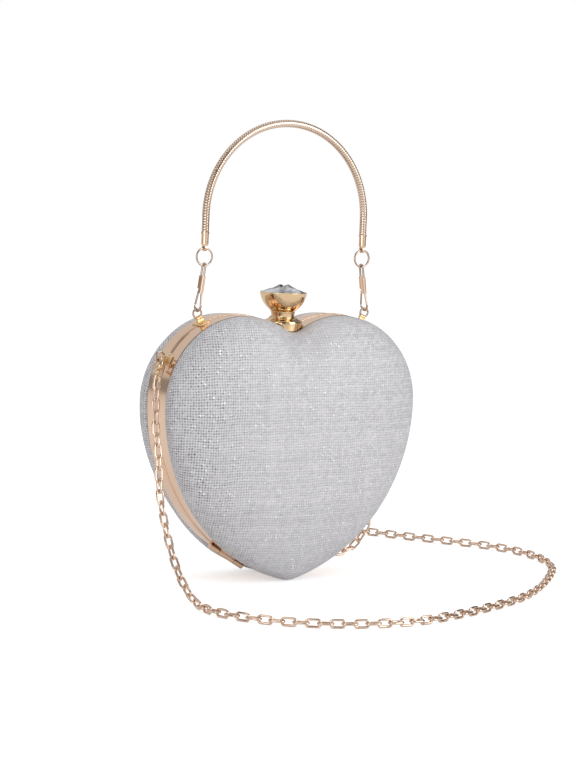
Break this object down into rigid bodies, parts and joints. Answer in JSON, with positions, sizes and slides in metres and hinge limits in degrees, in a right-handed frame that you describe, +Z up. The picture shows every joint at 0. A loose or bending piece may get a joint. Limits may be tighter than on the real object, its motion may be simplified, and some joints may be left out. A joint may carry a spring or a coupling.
{
  "type": "heart shaped purse",
  "caption": "Heart shaped evening purse: two padded glitter halves in a hinged metal frame, with a knob clasp, a snake-chain handle on snap hooks and a shoulder chain.",
  "frame": {"origin": "middle of the handle's crown, on the snake chain's centreline, where a hand or a hook holds the purse", "axes": "+Z up, +X to the right as seen from the front, the front half faces -Y"},
  "size_m": [0.2541, 0.2502, 0.2456],
  "materials": {
    "frame_gold": "polished champagne gold plate",
    "knob_gold": "polished amber gold plate",
    "glitter_cloth": "silver glitter mesh",
    "shell": "moulded",
    "lining": "satin",
    "crystal": "clear, faceted",
    "spring_steel": "plain"
  },
  "bodies": {
    "handle": {"handle_chain": "frame_gold", "ferrule_left": "frame_gold", "ferrule_right": "frame_gold"},
    "ring_left": {"handle_ring_left": "frame_gold"},
    "ring_right": {"handle_ring_right": "frame_gold"},
    "hook_left": {"hook_wire_left": "frame_gold", "hook_sleeve_left": "frame_gold"},
    "hook_right": {"hook_wire_right": "frame_gold", "hook_sleeve_right": "frame_gold"},
    "gate_left": {"hook_gate_left": "frame_gold"},
    "gate_right": {"hook_gate_right": "frame_gold"},
    "back": {"back_frame": "frame_gold", "back_shell": "shell", "back_cover": "glitter_cloth", "back_lining": "lining", "handle_lug_left": "frame_gold", "handle_lug_right": "frame_gold", "side_lug_left": "frame_gold", "side_lug_right": "frame_gold", "hinge_back_leaf": "frame_gold", "hinge_pin": "frame_gold", "knob_saddle": "knob_gold", "latch_bracket": "frame_gold", "latch_spring": "spring_steel", "clasp_left": "frame_gold", "clasp_right": "frame_gold", "chain_left": "frame_gold", "chain_front": "frame_gold", "chain_right": "frame_gold"},
    "front": {"front_frame": "frame_gold", "front_shell": "shell", "front_cover": "glitter_cloth", "front_lining": "lining", "hinge_front_leaf": "frame_gold", "catch_spring": "spring_steel"},
    "knob": {"knob_cup": "knob_gold", "knob_crystal": "crystal", "latch_tongue": "frame_gold"},
    "lever_left": {"clasp_lever_left": "frame_gold"},
    "lever_right": {"clasp_lever_right": "frame_gold"}
  },
  "joints": [
    {"name": "ring_swing_left", "type": "hinge", "parent": "handle", "child": "ring_left", "pos_m": [-0.0494, 0, -0.06655], "axis": [1, 0, 0], "range_deg": [-25, 25]},
    {"name": "ring_swing_right", "type": "hinge", "parent": "handle", "child": "ring_right", "pos_m": [0.0494, 0, -0.06655], "axis": [1, 0, 0], "range_deg": [-25, 25]},
    {"name": "hook_swing_left", "type": "hinge", "parent": "ring_left", "child": "hook_left", "pos_m": [-0.0494, 0, -0.07575], "axis": [1, 0, 0], "range_deg": [-25, 25]},
    {"name": "hook_swing_right", "type": "hinge", "parent": "ring_right", "child": "hook_right", "pos_m": [0.0494, 0, -0.07575], "axis": [1, 0, 0], "range_deg": [-25, 25]},
    {"name": "bag_swing", "type": "hinge", "parent": "hook_left", "child": "back", "pos_m": [-0.0525, 0, -0.09834], "axis": [1, 0, 0], "range_deg": [-35, 35]},
    {"name": "front_opening", "type": "hinge", "parent": "back", "child": "front", "pos_m": [-0.0299, 0, -0.23092], "axis": [0.848, 0, -0.5299], "range_deg": [0, 50], "deforming": ["catch_spring"]},
    {"name": "knob_press", "type": "slide", "parent": "back", "child": "knob", "axis": [0, 0, -1], "range_m": [0, 0.0026], "stiffness_N_per_m": 600, "springref_m": -0.0015, "deforming": ["latch_spring"]},
    {"name": "gate_press_left", "type": "hinge", "parent": "hook_left", "child": "gate_left", "pos_m": [-0.05122, 0.0015, -0.08903], "axis": [-0.9907, 0, 0.136], "range_deg": [0, 14], "stiffness_Nm_per_rad": 0.002, "springref_deg": -14.32},
    {"name": "gate_press_right", "type": "hinge", "parent": "hook_right", "child": "gate_right", "pos_m": [0.05122, 0.0015, -0.08903], "axis": [-0.9907, 0, -0.136], "range_deg": [0, 14], "stiffness_Nm_per_rad": 0.002, "springref_deg": -14.32},
    {"name": "lever_press_left", "type": "hinge", "parent": "back", "child": "lever_left", "pos_m": [-0.07658, -0.0004, -0.12941], "axis": [0.9135, 0, -0.4067], "range_deg": [0, 16], "stiffness_Nm_per_rad": 0.002, "springref_deg": -14.32},
    {"name": "lever_press_right", "type": "hinge", "parent": "back", "child": "lever_right", "pos_m": [0.07558, 0.00396, -0.12717], "axis": [0.9135, 0, 0.4067], "range_deg": [0, 16], "stiffness_Nm_per_rad": 0.002, "springref_deg": -14.32}
  ],
  "couplings": [
    {"joint": "ring_swing_right", "follows": "ring_swing_left", "ratio": 1},
    {"joint": "hook_swing_right", "follows": "hook_swing_left", "ratio": 1}
  ]
}
